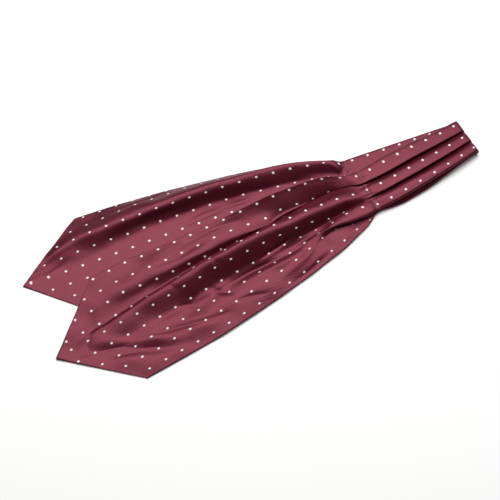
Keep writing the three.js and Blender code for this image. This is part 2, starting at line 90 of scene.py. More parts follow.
# The pressed pleats along the neckband: the plies' spacing, the radius of a strip's lip, and how far
# a strip's crest rises over the plies under it.
PLY_PITCH = [(0, 1.15), (40, 1.45), (100, 1.6), (145, 1.45), (166, 1.2)]
LIP_RADIUS = [(0, 0.7), (60, 0.85), (166, 0.7)]
STRIP_RISE = [(0, 2.6), (40, 4.0), (100, 4.6), (145, 4.0), (166, 2.8)]
# The pressed strips' edges from the upper to the lower one, as the camera sees them.
STRIP_EDGES = [
    [(0, 27.3), (32, 27.4), (67, 30.6), (97, 31.8), (119, 31.9), (141, 30.8), (155, 30.2), (175, 34)],
    [(0, 8.8), (41, 8.8), (82, 9.3), (124, 8.7), (159, 10.4), (175, 12.5)],
    [(0, -8.8), (13, -9.9), (56, -11.6), (98, -12.5), (139, -12.6), (163, -11.3), (175, -9.5)],
    [(0, -27.3), (25, -29.2), (50, -30.9), (92, -32.5), (133, -33.2), (166, -31.8), (175, -31)],
]
# The silk's own lower edge shows past the lowest strip by this much, and droops more where it does.
HEM_FLAP = [(0, 0.1), (29, 0.2), (64, 1.6), (98, 3.6), (129, 3.8), (150, 2), (166, 0.1)]
HEM_DROOP = 1.6
HEM_DROOP_SHARE = 0.25
# Where the front half reaches past the back one, it sinks toward the surface.
SINK = {"from": 4.0, "reach": 34.0, "slope": 0.15, "lip": 1.2}

# Each fold is one crease line: its place across as seen from the camera, its height, and where on
# the flat silk it lies. Each has rows of (distance from the fold, value).
FRONT_FOLDS = [
    {"name": "upper edge",
     "across": [(163, 26), (185, 36), (204, 46), (226, 52.5), (249, 56.5), (271, 59.5), (300, 62),
                (343, 63.5), (411, 67.5), (450, 71), (491, 76), (532, 76.5), (600, 76.5)],
     "height": [(163, 10), (185, 13), (210, 16), (250, 17), (300, 15.6), (330, 12.6), (350, 10.2),
                (400, 6.2), (540, 3.2)],
     "cloth": [(163, -3.5), (185, 0)]},
    {"name": "upper slope",
     "across": [(163, 20), (185, 28), (210, 36), (250, 42), (300, 45), (350, 50), (400, 54), (450, 58),
                (500, 62), (545, 62)],
     "height": [(163, 10), (185, 11), (210, 11.6), (250, 11), (300, 10), (330, 9), (350, 8.2),
                (400, 7.6), (450, 6.8), (500, 5.4), (545, 3.6)],
     "cloth": [(163, 6), (210, 14)]},
    {"name": "first lip",
     "across": [(163, 9), (182, 17), (198, 21), (210, 24), (242, 25), (274, 27), (290, 26), (303, 23),
                (318, 25), (342, 29), (360, 31), (393, 32.5), (437, 35), (461, 36.5), (487, 40),
                (505, 43), (525, 41), (560, 40)],
     "height": [(163, 8.5), (185, 7.6), (210, 5.2), (250, 3.8), (290, 4), (320, 5.4), (350, 7.2),
                (400, 8.2), (450, 8), (500, 7), (530, 5), (560, 2.8)],
     "cloth": [(163, 15), (210, 26), (250, 31), (300, 36), (345, 37), (400, 38)]},
    {"name": "first hollow",
     "across": [(163, 24), (200, 25), (250, 24.5), (300, 23), (345, 23.4), (400, 22.5), (450, 19.5),
                (500, 15.5), (545, 11)],
     "height": [(163, 7), (185, 5), (210, 3.4), (250, 2.4), (300, 2.1), (350, 2.0), (500, 1.8),
                (560, 1.6), (622, 0.9)],
     "cloth": [(163, 35), (210, 42), (250, 44), (300, 45), (345, 45), (400, 48), (450, 55), (500, 61),
               (545, 67)]},
    {"name": "back of the main ridge",
     "across": [(163, 4), (180, 7), (206, 12), (235, 16), (263, 19), (300, 20.5), (350, 22),
                (400, 21.5), (450, 18), (500, 13.5), (545, 8.5)],
     "height": [(163, 7.5), (185, 9.4), (210, 12.2), (250, 15.8), (300, 17.6), (350, 17.8), (400, 16.4),
                (450, 12), (500, 7.6), (545, 3.9), (580, 2.2), (622, 1)],
     "cloth": [(163, 56), (210, 59), (300, 61), (345, 62), (400, 63), (450, 65), (500, 69),
               (545, 73)]},
    {"name": "crest of the main ridge",
     "across": [(163, -6), (180, -4), (200, 0.5), (230, 4.5), (258, 8.4), (288, 11.4), (310, 14),
                (330, 16), (388, 17.4), (417, 14.6), (462, 11.8), (487, 10), (518, 7.5), (553, 5)],
     "height": [(163, 8.5), (185, 10), (210, 12.8), (250, 16.6), (300, 19), (350, 19), (400, 17.5),
                (450, 13), (500, 8.3), (545, 4.2), (580, 2.3), (622, 1)],
     "cloth": [(163, 67), (206, 71), (250, 71), (300, 70.5), (345, 70), (390, 71), (440, 73), (480, 74),
               (510, 76), (553, 79)]},
    {"name": "foot of the main ridge",
     "across": [(163, -14), (180, -14), (206, -12.6), (222, -13), (240, -14.5), (257, -13.5),
                (303, -11.5), (350, -13), (395, -13.5), (439, -14.5), (485, -16.5), (520, -17),
                (560, -17)],
     "height": [(163, 8), (174, 6.2), (186, 4.6), (206, 3.6), (235, 3.4), (260, 4.6), (300, 6),
                (350, 5), (400, 4.2), (450, 3.4), (500, 2.6), (545, 2), (622, 0.9)],
     "cloth": [(163, 74), (185, 83), (210, 87), (230, 91), (254, 99), (300, 102), (350, 103)]},
    {"name": "hidden turn under the lower ridge",
     "across": [(163, -12), (206, -12.8), (240, -15.5), (257, -16.5), (300, -15.8), (350, -18),
                (400, -20), (450, -21), (500, -22.3), (545, -22.3)],
     "height": [(163, 5.4), (186, 4.6), (206, 4.8), (235, 4.6), (260, 4.2), (300, 4.2), (350, 3.6),
                (400, 3.1), (450, 2.7), (500, 2.2), (545, 1.8), (600, 0.9)],
     "cloth": [(163, 93), (185, 97), (207, 101), (235, 105), (254, 108), (300, 108), (350, 108.5)]},
    {"name": "upper side of the lower ridge",
     "across": [(163, -15), (180, -15.6), (206, -14.6), (221, -15.4), (236, -18), (250, -20),
                (300, -20), (350, -23.5), (400, -26), (450, -27.5), (500, -28), (545, -27.5)],
     "height": [(163, 9), (185, 9), (210, 8.6), (232, 7.8), (262, 4), (300, 3), (350, 2.6), (400, 2.3),
                (500, 1.8), (590, 0.9)],
     "cloth": [(163, 112), (180, 117), (207, 120), (235, 122), (262, 117), (300, 114)]},
    {"name": "lower ridge",
     "across": [(163, -31), (183, -32), (198, -30.6), (212, -28.4), (226, -25), (240, -22.6),
                (250, -22), (272, -25), (300, -30), (350, -35), (400, -39), (450, -41), (500, -42.5),
                (545, -43)],
     "height": [(163, 9.6), (185, 9), (210, 8.6), (240, 8.8), (262, 7), (300, 6), (350, 5.5),
                (400, 5), (450, 4), (500, 3), (580, 1.2)],
     "cloth": [(163, 130), (180, 133), (209, 134), (226, 133), (240, 130), (262, 128), (300, 132)]},
    {"name": "third hollow",
     "across": [(163, -33), (185, -34.5), (212, -32.5), (235, -28), (250, -29), (300, -39),
                (350, -45), (400, -49), (450, -51), (500, -52.5), (545, -53)],
     "height": [(163, 4.5), (185, 3.4), (210, 2.8), (240, 3), (260, 5), (300, 6), (350, 6), (400, 5.5),
                (450, 4.5), (500, 3.2), (570, 1.2)],
     "cloth": [(163, 132), (185, 141), (210, 143), (260, 143.5)]},
    {"name": "lower panel",
     "across": [(163, -33), (185, -38.5), (210, -41), (250, -48.5), (300, -56), (350, -62), (400, -66),
                (450, -68), (545, -68.5)],
     "height": [(163, 2.4), (185, 3.1), (210, 3.6), (250, 4.1), (300, 4.2), (350, 3.9), (400, 3.5),
                (450, 2.9), (500, 2.3), (560, 1.2)],
     "cloth": [(163, 161), (200, 160.5)]},
    {"name": "lower edge",
     "across": [(163, -34), (176, -37.5), (194, -46), (209, -50), (239, -58), (268, -62.5),
                (295, -67), (322, -70), (347, -73), (396, -77), (444, -80), (534, -80.5),
                (600, -80.5)],
     "height": [(163, 1.6), (185, 1.9), (230, 2.3), (400, 2.1), (470, 1.5), (560, 0.6)],
     "cloth": [(163, 174)]},
]

BACK_FOLDS = [
    {"name": "upper edge",
     "across": [(163, 21), (200, 31), (240, 44), (280, 53.5), (320, 59), (350, 62), (382, 65),
                (415, 68), (448, 69.5), (480, 71), (531, 71.5), (600, 71.5)],
     "height": [(163, 2), (200, 1), (240, 0.5), (600, 0.5)],
     "cloth": [(163, 24), (200, 20), (280, 4), (320, 0)]},
    {"name": "far slope",
     "across": [(163, 23.5), (190, 30.5), (220, 40), (280, 52), (330, 58), (400, 62), (450, 62),
                (500, 58.5), (540, 54), (575, 38)],
     "height": [(163, 4), (190, 5), (220, 6.6), (280, 7.8), (330, 8.6), (400, 8.6), (450, 7.8),
                (500, 6.2), (540, 4.6), (575, 2.4)],
     "cloth": [(163, 35), (280, 24), (400, 23), (500, 22), (540, 23), (575, 45)]},
    {"name": "crest",
     "across": [(163, 23.5), (190, 31), (211, 38.5), (239, 45.5), (272, 51), (311, 52.5), (357, 54),
                (415, 54), (450, 49.5), (500, 45), (543, 40), (573, 30), (592, 18)],
     "height": [(163, 4.9), (178, 6), (188, 9.4), (204, 11.6), (222, 12.6), (260, 13.6), (300, 14.6),
                (400, 14.6), (450, 13.8), (500, 11.4), (543, 8.6), (573, 5.2), (592, 2.4)],
     "cloth": [(163, 40), (220, 36), (300, 33), (400, 33), (450, 39), (500, 43), (543, 45),
               (573, 52), (592, 63)]},
    {"name": "near slope",
     "across": [(163, 8), (176, 7.5), (181, 13), (187, 20), (198, 28), (216, 33), (240, 37.6),
                (288, 42.7), (335, 44.9), (380, 46), (450, 42.5), (500, 37), (540, 32), (570, 24),
                (598, 13)],
     "height": [(163, 4.8), (176, 5.6), (186, 8.2), (198, 10), (216, 11), (250, 11.8), (300, 12.8),
                (400, 13), (450, 12), (500, 9.4), (540, 6.8), (570, 4), (598, 1.6)],
     "cloth": [(163, 50), (181, 50), (198, 46), (220, 43.5), (380, 43), (450, 47), (500, 50),
               (540, 54), (570, 59), (598, 71)]},
    {"name": "middle of the near slope",
     "across": [(163, 3), (176, 3.5), (184, 8), (192, 13), (213, 20), (247, 25), (281, 29), (317, 33),
                (351, 34.5), (420, 35.5), (467, 31), (515, 22.5), (560, 16), (603, 9)],
     "height": [(163, 4.5), (176, 3.6), (190, 4), (213, 4.8), (250, 6), (300, 6.6), (400, 6.6),
                (450, 5.8), (500, 4.2), (540, 3.1), (603, 1.2)],
     "cloth": [(163, 55), (184, 58), (200, 56), (220, 54), (351, 54), (467, 57), (515, 65),
               (560, 69)]},
    {"name": "foot",
     "across": [(163, 0), (176, 0), (190, 5), (200, 9), (240, 17), (281, 21.5), (317, 25), (351, 26),
                (420, 25), (467, 21), (515, 13.5), (560, 8), (610, 5)],
     "height": [(163, 4.4), (176, 2.8), (200, 2.6), (250, 2.8), (300, 2.6), (400, 2.1), (500, 1.5),
                (560, 1.1), (610, 0.8)],
     "cloth": [(163, 60), (190, 62.5), (220, 62), (400, 64), (467, 66), (515, 74), (560, 77),
               (610, 80)]},
    {"name": "middle",
     "across": [(163, 0), (200, 1), (250, 3), (300, 4), (400, 4), (500, 1), (560, -0.5), (621, -1)],
     "height": [(163, 4.4), (200, 2.8), (240, 1.9), (300, 1.3), (400, 0.9), (621, 0.5)],
     "cloth": [(163, 64), (220, 78), (300, 84), (621, 84.5)]},
    {"name": "hidden quarter",
     "across": [(163, -20), (200, -20), (250, -23), (300, -26), (400, -30), (500, -33)],
     "height": [(163, 3.6), (185, 1.6), (210, 0.8), (250, 0.5), (600, 0.5)],
     "cloth": [(163, 91.6), (220, 108), (300, 118), (400, 120)]},
    {"name": "hidden lower part",
     "across": [(163, -24), (200, -34), (250, -41), (300, -48), (400, -56), (500, -59)],
     "height": [(163, 2.4), (185, 1), (210, 0.5), (600, 0.5)],
     "cloth": [(163, 139), (220, 144), (300, 147), (400, 150)]},
    {"name": "lower edge",
     "across": [(163, -27), (200, -45), (239, -58), (268, -62), (322, -70), (396, -77), (444, -80),
                (536, -80), (600, -80)],
     "height": [(163, 1.4), (185, 0.7), (210, 0.5), (600, 0.5)],
     "cloth": [(163, 174)]},
]

# Creases that handling left in the silk. Each runs through points of (distance, place on the flat
# silk), with its half width and its depth; a negative depth is a raised one.
FRONT_CREASES = [
    {"name": "long trough by the point", "width": 7.5, "depth": 2.3,
     "line": [(587, 95), (550, 121), (521, 137), (498, 150), (474, 158)]},
    {"name": "swell over it", "width": 6, "depth": -1.1,
     "line": [(566, 92), (536, 112), (508, 126), (486, 140)]},
    {"name": "narrow trough", "width": 4, "depth": 1.5,
     "line": [(500, 122), (475, 131), (445, 143), (415, 150)]},
    {"name": "pucker", "width": 3.2, "depth": 1.5, "line": [(457, 106), (443, 110), (436, 105)]},
    {"name": "soft turn at the point", "width": 6, "depth": 1.2,
     "line": [(558, 50), (572, 73), (590, 96)]},
    {"name": "raised lip", "width": 3.0, "depth": -1.8,
     "line": [(206, 27), (228, 30), (262, 33), (300, 37), (330, 37)]},
    {"name": "short fold at the ridge's foot", "width": 2.8, "depth": 1.4,
     "line": [(290, 96), (310, 101), (334, 103)]},
    {"name": "trough in the lower panel", "width": 4.6, "depth": 2.0,
     "line": [(282, 128), (308, 124), (330, 119), (352, 113), (384, 111)]},
    {"name": "swell under it", "width": 5, "depth": -1.0,
     "line": [(292, 138), (322, 134), (350, 126), (378, 123)]},
    {"name": "small fold near the lower edge", "width": 2.6, "depth": 1.2,
     "line": [(357, 157), (370, 151), (384, 145), (394, 143)]},
    {"name": "puckers over it", "width": 3.2, "depth": 1.5,
     "line": [(393, 130), (403, 118), (414, 104)]},
    {"name": "pull from the pinch", "width": 5, "depth": -1.3,
     "line": [(254, 139), (285, 148), (326, 151)]},
    {"name": "hollow at the lower edge", "width": 4.5, "depth": 1.3,
     "line": [(258, 163), (288, 167), (318, 167)]},
    {"name": "kink in the main ridge", "width": 2.6, "depth": 0.9, "line": [(459, 62), (452, 82)]},
    {"name": "second kink", "width": 3.0, "depth": 0.8, "line": [(398, 60), (388, 84)]},
    {"name": "shallow trough in the upper panel", "width": 4, "depth": 0.9,
     "line": [(392, 22), (424, 27), (462, 25)]},
    {"name": "soft trough by the upper edge", "width": 3.4, "depth": 0.8,
     "line": [(330, 12), (372, 9), (410, 12)]},
    {"name": "crossing trough", "width": 4, "depth": 0.9,
     "line": [(470, 46), (492, 52), (520, 52)]},
]
BACK_CREASES = [
    {"name": "streak beside the front edge", "width": 3.6, "depth": 1.2,
     "line": [(346, 73), (372, 75), (396, 79)]},
    {"name": "shorter streak", "width": 3, "depth": 1.0, "line": [(306, 71), (326, 73), (342, 72)]},
    {"name": "kink in the crest", "width": 3, "depth": 0.8, "line": [(300, 22), (292, 44)]},
    {"name": "soft turn by the point", "width": 6, "depth": 1.0,
     "line": [(556, 70), (584, 84), (600, 100)]},
    {"name": "trough over the far slope", "width": 3.4, "depth": 0.9,
     "line": [(404, 12), (442, 18), (486, 20)]},
    {"name": "hidden trough", "width": 5, "depth": 1.4,
     "line": [(330, 118), (372, 124), (420, 121)]},
    {"name": "second hidden trough", "width": 4, "depth": 1.2,
     "line": [(446, 140), (486, 132), (530, 136)]},
]

# The stitches: one line of tacks over each strip of the front half, and one over the back strip. A
# line leans, so its distance changes with the place across. Puckers run from it to both sides: each
# has its place on the flat silk, its length toward the fold and its length toward the point.
TACK_SLANT = -0.18
TACK_GROOVE = {"width": 1.5, "depth": 0.8}
PUCKER = {"width": 1.3, "depth": 0.75}
FRONT_TACKS = [
    {"from": -2, "to": 14, "puckers": [(2, 8, 9), (6, 12, 4), (10, 6, 8), (13, 10, 5)]},
    {"from": 56, "to": 72, "puckers": [(58, 9, 12), (61, 5, 8), (66, 11, 9), (70, 7, 10)]},
    {"from": 112, "to": 129, "puckers": [(114, 10, 6), (118, 7, 9), (123, 12, 8), (127, 8, 6)]},
]
BACK_TACKS = [
    {"from": 38, "to": 56, "puckers": [(41, 9, 8), (45, 12, 6), (49, 8, 11), (53, 10, 7)]},
]
TACK_END = 3.0                     # over which a groove fades at its two ends
NEAR_TACK = 12.0                   # a stitch's column is looked for this near to the line
STITCH = {"spacing": 2.3, "reach": 1.5, "slant": 0.8, "rise": 0.5, "radius": 0.26, "sides": 8}

# The slight unevenness of cloth that was folded and handled: each wave's height, how many radians
# it turns in a millimetre along and across, and where it starts.
RIPPLES = [
    {"height": 0.26, "along": 1 / 7.5, "across": -1 / 11.0, "start": 0.3},
    {"height": 0.20, "along": 1 / 21.0, "across": 1 / 5.5, "start": 2.2},
]
CROSSED_RIPPLE = {"height": 0.42, "along": 1 / 14.0, "across": 1 / 8.0, "starts": (0.7, 1.9)}
BACK_RIPPLE_SHIFT = (40, 15)       # so that the two halves aren't uneven in the same way

FRONT_POINT = {"upper": (532, 76.2), "tip": 622.0, "lower": (541, -80.2)}
BACK_POINT = {"upper": (530.5, 71.2), "tip": 621.0, "lower": (535, -79.7)}

# The pressed back band, folded into four plies: place, across, height, cloth.
BACK_PRESSED = [
    (0, -15, 1.0, 0), (0.35, 0, 1.0, 15), (0.7, 14, 1.05, 29), (1, 20.6, 1.5, 35.5),
    (1.3, 22.2, 2.3, 37), (1.6, 22.5, 3.2, 38), (2, 21.6, 4.3, 39.6), (2.5, 19.3, 4.75, 42),
    (3, 17, 4.85, 44.1), (3.5, 14, 4.9, 47), (4, 10.5, 4.9, 50.6), (4.5, 7.8, 4.9, 53.3),
    (5, 5, 4.9, 56), (5.5, 1, 4.85, 60), (6, -8, 4.8, 69), (6.4, -18, 4.75, 79), (6.7, -25, 4.65, 86),
    (6.85, -28.8, 4.5, 89.8), (7, -30, 4.05, 91.6), (7.15, -28.8, 3.55, 93.4), (7.3, -24, 3.5, 98.2),
    (7.6, -5, 3.5, 117), (7.85, 12, 3.5, 134), (7.95, 16.6, 3.4, 138.8), (8.05, 17.4, 2.85, 140),
    (8.15, 16.6, 2.3, 141.2), (8.3, 10, 2.25, 147.6), (8.7, -6, 2.25, 163.6), (9, -16.5, 2.2, 174),
]


def along(table, distance):
    """Smooth values along a short table of (distance, value) rows, with no overshoot."""
    places, values = np.array(table, float).T
    if len(places) == 1:
        return np.full(np.shape(distance), values[0])
    held = np.clip(distance, places[0], places[-1])
    row = np.clip(np.searchsorted(places, held, side="right") - 1, 0, len(places) - 2)
    slopes = np.diff(values) / np.diff(places)
    product = slopes[:-1] * slopes[1:]
    total = np.where(product > 0, slopes[:-1] + slopes[1:], 1)
    tangents = np.concatenate([slopes[:1], np.where(product > 0, 2 * product / total, 0), slopes[-1:]])
    span = places[row + 1] - places[row]
    t = (held - places[row]) / span
    rise = t * t * (3 - 2 * t)
    return (values[row] * (1 - rise) + values[row + 1] * rise
            + span * t * (1 - t) * (tangents[row] * (1 - t) - tangents[row + 1] * t))


def smoothstep(value, low, high):
    """From 0 at low to 1 at high, with soft ends."""
    t = np.clip((value - low) / (high - low), 0, 1)
    return t * t * (3 - 2 * t)


def smooth_through(knots, at):
    """A curve through knots[row, knot, (across, height, cloth)], read where at counts the knots."""
    before = 2 * knots[:, :1] - knots[:, 1:2]
    beyond = 2 * knots[:, -1:] - knots[:, -2:-1]
    padded = np.concatenate([before, knots, beyond], axis=1)
    start = np.clip(at.astype(int), 0, knots.shape[1] - 2)
    t = (at - start)[None, :, None]
    p0, p1, p2, p3 = (padded[:, start + step] for step in range(4))

    def root_gap(a, b):
        gap = np.linalg.norm((b - a)[..., :2], axis=-1, keepdims=True)
        return np.sqrt(np.maximum(gap, 1e-3))

    d0, d1, d2 = root_gap(p0, p1), root_gap(p1, p2), root_gap(p2, p3)
    leave = ((p1 - p0) / d0 - (p2 - p0) / (d0 + d1)) * d1 + (p2 - p1)
    reach = ((p3 - p2) / d2 - (p3 - p1) / (d1 + d2)) * d1 + (p2 - p1)
    return (p1 * (2 * t**3 - 3 * t**2 + 1) + leave * (t**3 - 2 * t**2 + t)
            + p2 * (3 * t**2 - 2 * t**3) + reach * (t**3 - t**2))


def loose_knots(folds, lean, distance, places):
    """The open folds at the given places, which count the table's rows."""
    rows = []
    for fold in folds:
        height = along(fold["height"], distance)
        across = along(fold["across"], distance) - lean * height
        rows.append(np.stack([across, height, along(fold["cloth"], distance)], axis=-1))
    return smooth_through(np.stack(rows, axis=1), places)


def pressed_front(distance):
    """The three pressed strips with their plies: the knots' places, and rows of their
    (across, height, cloth)."""
    pitch = along(PLY_PITCH, distance)
    lip = along(LIP_RADIUS, distance)
    low = BAND_FLOOR + 2 * pitch
    crest = low + along(STRIP_RISE, distance)
    heights = [low + 0.3 * (crest - low), crest - lip, crest - lip, crest - lip - SINK["lip"]]
    edges = [along(edge, distance - FRONT_SLIDE * height) - FRONT_LEAN * height
             for edge, height in zip(STRIP_EDGES, heights)]
    knots = []

    def put(place, across, height, cloth):
        knots.append((place, across, height, cloth))

    def strip(upper, lower, shares, climbs, places, cloth):
        """The showing part climbs out from under the strip above, then lies flat to its lip."""
        for share, climb, place in zip(shares, climbs, places):
            across = upper + (lower + lip - upper) * share
            put(place, across, low + (crest - low) * climb, cloth[0] + (cloth[1] - cloth[0]) * share)

    def roll(lower, place, half, cloth):
        """The lip turns down and under."""
        for step in range(5):
            angle = math.pi / 2 - step * math.pi / 4
            put(place + half * (step - 2) / 2, lower + lip * (1 - math.cos(angle)),
                crest - lip + lip * math.sin(angle), cloth + (step - 2) * 0.7)

    def tuck(lower, place, cloth):
        """The ply under the strip runs back, turns, and comes out as the next strip."""
        inner = lower + PLEAT_DEPTH
        put(place - 0.5, lower + 0.5 * PLEAT_DEPTH, 0.5 * (crest - 2 * lip + BAND_FLOOR + pitch), cloth - 10)
        for step, height in ((-1, 1.0), (0, 0.5), (1, 0.0)):
            bow = 0.5 * pitch if step == 0 else 0
            put(place + 0.07 * step, inner + bow, BAND_FLOOR + height * pitch, cloth + step)
        put(place + 0.5, lower + 0.5 * PLEAT_DEPTH, BAND_FLOOR + 0.8 * pitch, cloth + 10)

    put(0, edges[0] - 0.8, BAND_FLOOR + 0.6 * pitch, -5)
    put(0.06, edges[0], heights[0], -4)
    strip(edges[0], edges[1], (0.03, 0.1, 0.26, 0.5, 0.7, 0.86), (0.4, 0.75, 0.9, 0.96, 0.99, 1.0),
          (0.12, 0.35, 0.7, 1.1, 1.5, 1.75), (-3, 14))
    roll(edges[1], 2, 0.1, 15)
    tuck(edges[1], 3, 35)
    shares, climbs = (0, 0.12, 0.3, 0.5, 0.7, 0.86), (0, 0.16, 0.72, 0.94, 0.99, 1.0)
    strip(edges[1], edges[2], shares, climbs, (4, 4.3, 4.7, 5.1, 5.45, 5.7), (54.5, 72))
    roll(edges[2], 6, 0.1, 73)
    tuck(edges[2], 7, 93)
    strip(edges[2], edges[3], shares, climbs, (7.95, 8.1, 8.3, 8.5, 8.7, 8.82), (111, 129))
    roll(edges[3], 9, 0.08, 130)
    tuck(edges[3], 10, 150)
    flap = along(HEM_FLAP, distance)
    droop = HEM_DROOP + HEM_DROOP_SHARE * flap
    put(11, edges[3], BAND_FLOOR + pitch, 170)
    put(11.5, edges[3] - 0.5 * flap, BAND_FLOOR + pitch - 0.5 * droop, 172)
    put(12, edges[3] - flap, BAND_FLOOR + pitch - droop, 174)
    back_edge = edges[3] + 2 * math.sin(SWING) * distance
    section = np.stack([np.stack(np.broadcast_arrays(across, height, cloth), axis=-1)
                        for _, across, height, cloth in knots], axis=1).astype(float)
    overhang = np.clip(back_edge[:, None] - SINK["from"] - section[..., 0], 0, SINK["reach"])
    section[..., 1] -= SINK["slope"] * overhang
    return np.array([knot[0] for knot in knots]), section


def front_knots(distance):
    """The front half's cross sections, pressed up to the stitches and then opening."""
    places, pressed = pressed_front(np.minimum(distance, TACK + RELEASE))
    loose = loose_knots(FRONT_FOLDS, FRONT_LEAN, distance, places)
    opening = smoothstep(distance, TACK - OPEN_BEFORE, TACK + RELEASE)[:, None, None]
    return pressed + (loose - pressed) * opening


def back_knots(distance):
    """The back half's cross sections, in the same way."""
    table = np.array(BACK_PRESSED, float)
    pressed = np.broadcast_to(table[None, :, 1:], (len(distance), len(table), 3))
    loose = loose_knots(BACK_FOLDS, BACK_LEAN, distance, table[:, 0])
    opening = smoothstep(distance, BACK_TACK - OPEN_BEFORE, BACK_TACK + BACK_RELEASE)[:, None, None]
    return pressed + (loose - pressed) * opening


def point_outline(point, across):
    """Where the pointed end cuts a thread that lies this far across."""
    corner = np.where(across > 0, point["upper"][0], point["lower"][0])
    width = np.where(across > 0, point["upper"][1], point["lower"][1])
    share = np.clip(across / width, 0, 1)
    return point["tip"] + (corner - point["tip"]) * share


def half_grid(knots_at, point, at, distances):
    """Rows of (distance, across, height, cloth): straight ones, then a fan into the point."""
    straight = smooth_through(knots_at(distances), at)
    along_rows = np.broadcast_to(distances[:, None], straight.shape[:2])
    rows = np.concatenate([along_rows[..., None], straight], axis=-1)
    every = np.arange(len(at))

    def own(reach):
        return smooth_through(knots_at(reach), at)[every, every]

    ends = np.full(len(at), float(point["upper"][0]))
    for _ in range(END_STEPS):
        ends = (ends + point_outline(point, own(ends)[:, 0])) / 2
    fan = []
    for share in np.arange(1, FAN_ROWS + 1) / FAN_ROWS:
        reach = distances[-1] + (ends - distances[-1]) * share
        fan.append(np.concatenate([reach[:, None], own(reach)], axis=-1))
    return np.concatenate([rows, np.array(fan)])


def band_distance(distance, across, swing):
    """Near the fold the cross sections lie on one line across both halves."""
    on_line = (BAND_START - across * math.sin(swing)) / math.cos(swing)
    squared = np.clip((distance - BAND_START) / (SQUARE_FROM - BAND_START), 0, 1)
    return (on_line + distance - BAND_START) * (1 - squared) + distance * squared


def to_part(grid, swing):
    """From a half's own frame to the part's frame, in millimetres."""
    distance = np.where(grid[..., 0] < SQUARE_FROM, band_distance(grid[..., 0], grid[..., 1], swing),
                        grid[..., 0])
    x = -distance * math.cos(swing) - grid[..., 1] * math.sin(swing) - MIDDLE[0]
    y = -distance * math.sin(swing) + grid[..., 1] * math.cos(swing) - MIDDLE[1]
    return np.stack([x, y, grid[..., 2]], axis=-1)


def spread_columns(knots_at, probe, spacing):
    """Places along a section so that its points lie about evenly apart on the cloth."""
    count = knots_at(np.array([probe[0]])).shape[1]
    fine = np.linspace(0, count - 1, count * PROBE_STEPS)
    length = np.zeros(len(fine))
    for distance in probe:
        line = smooth_through(knots_at(np.array([distance])), fine)[0, :, :2]
        steps = np.linalg.norm(np.diff(line, axis=0), axis=1)
        length[1:] += np.cumsum(steps) / len(probe)
    columns = int(length[-1] / spacing) + 1
    return np.interp(np.linspace(0, length[-1], columns), length, fine)


def wrap_over(first_row):
    """Rows that carry the neckband's end over the fold and under, each ply on its own radius."""
    radius = first_row[:, 2] - FOLD_MIDDLE
    largest = radius.max()
    rows = []
    for step in range(WRAP_STEPS, 0, -1):
        angle = math.pi * step / WRAP_STEPS
        flat = float(smoothstep(angle, math.pi / 2, math.pi))
        bent = radius * (1 - flat) + radius / largest * (FOLD_MIDDLE - SILK_WALL / 2) * flat
        share = PLY_REACH_SHARE * bent / largest + 1 - PLY_REACH_SHARE
        reach = share * FOLD_REACH * math.sin(angle)
        row = first_row.copy()
        row[:, 0] = BAND_START - reach
        row[:, 2] = FOLD_MIDDLE + bent * math.cos(angle)
        row[:, 4] = first_row[:, 4] - largest * angle
        rows.append(row)
    return np.array(rows)


def placed(name, data):
    """A new object in the scene."""
    thing = bpy.data.objects.new(name, data)
    bpy.context.collection.objects.link(thing)
    return thing


def sheet_mesh(name, middle, cloth, thickness):
    """A closed thin shell on both sides of a grid of points, with a UV map of the flat silk."""
    rows, columns = middle.shape[:2]
    along_step = np.gradient(middle, axis=0)
    across_step = np.gradient(middle, axis=1)
    normal = np.cross(across_step, along_step)
    normal /= np.maximum(np.linalg.norm(normal, axis=-1, keepdims=True), 1e-9)
    half = thickness[..., None] / 2 * normal
    top = middle + half
    base = middle - half
    top[..., 2] = np.maximum(top[..., 2], SILK_WALL)
    base[..., 2] = np.maximum(base[..., 2], 0.0)
    points = np.concatenate([top.reshape(-1, 3), base.reshape(-1, 3)]) * MM
    index = np.arange(rows * columns).reshape(rows, columns)
    a, b, c, d = index[:-1, :-1], index[1:, :-1], index[1:, 1:], index[:-1, 1:]
    upper = np.stack([a, d, c, b], axis=-1).reshape(-1, 4)
    lower = np.stack([a, b, c, d], axis=-1).reshape(-1, 4) + rows * columns
    rim = np.concatenate([index[0, :-1], index[:-1, -1], index[-1, :0:-1], index[:0:-1, 0]])
    after = np.roll(rim, -1)
    sides = np.stack([after, rim, rim + rows * columns, after + rows * columns], axis=-1)
    faces = np.concatenate([upper, lower, sides])
    mesh = bpy.data.meshes.new(name)
    mesh.from_pydata(points.tolist(), [], faces.tolist())
    layer = mesh.uv_layers.new(name="cloth")
    flat = np.concatenate([cloth.reshape(-1, 2)] * 2) * MM
    layer.data.foreach_set("uv", flat[faces.reshape(-1)].astype(np.float32).ravel())
    mesh.polygons.foreach_set("use_smooth", np.ones(len(faces), bool))
    mesh.update()
    return placed(name, mesh)


def crease_relief(distance, cloth, creases):
    """How far the creases, which fade at their ends, move each point along its upward normal."""
    relief = np.zeros(distance.shape)
    for crease in creases:
        line = np.array(crease["line"], float)
        spans = np.linalg.norm(np.diff(line, axis=0), axis=1)
        start = np.concatenate([[0], np.cumsum(spans)])
        nearest = np.full(distance.shape, np.inf)
        share = np.zeros(distance.shape)
        for (x0, y0), (x1, y1), span, before in zip(line, line[1:], spans, start):
            t = np.clip(((distance - x0) * (x1 - x0) + (cloth - y0) * (y1 - y0)) / span**2, 0, 1)
            gap = np.hypot(distance - x0 - t * (x1 - x0), cloth - y0 - t * (y1 - y0))
            closer = gap < nearest
            nearest = np.where(closer, gap, nearest)
            share = np.where(closer, (before + t * span) / start[-1], share)
        taper = 0.25 + 0.75 * np.sin(np.pi * np.clip(share, 0.04, 0.96)) ** 0.7
        relief -= crease["depth"] * taper * np.exp(-((nearest / crease["width"]) ** 2))
    return relief


def tack_distance(stop, across):
    """Where the line of stitches crosses a thread that lies this far across."""
    return stop + TACK_SLANT * across


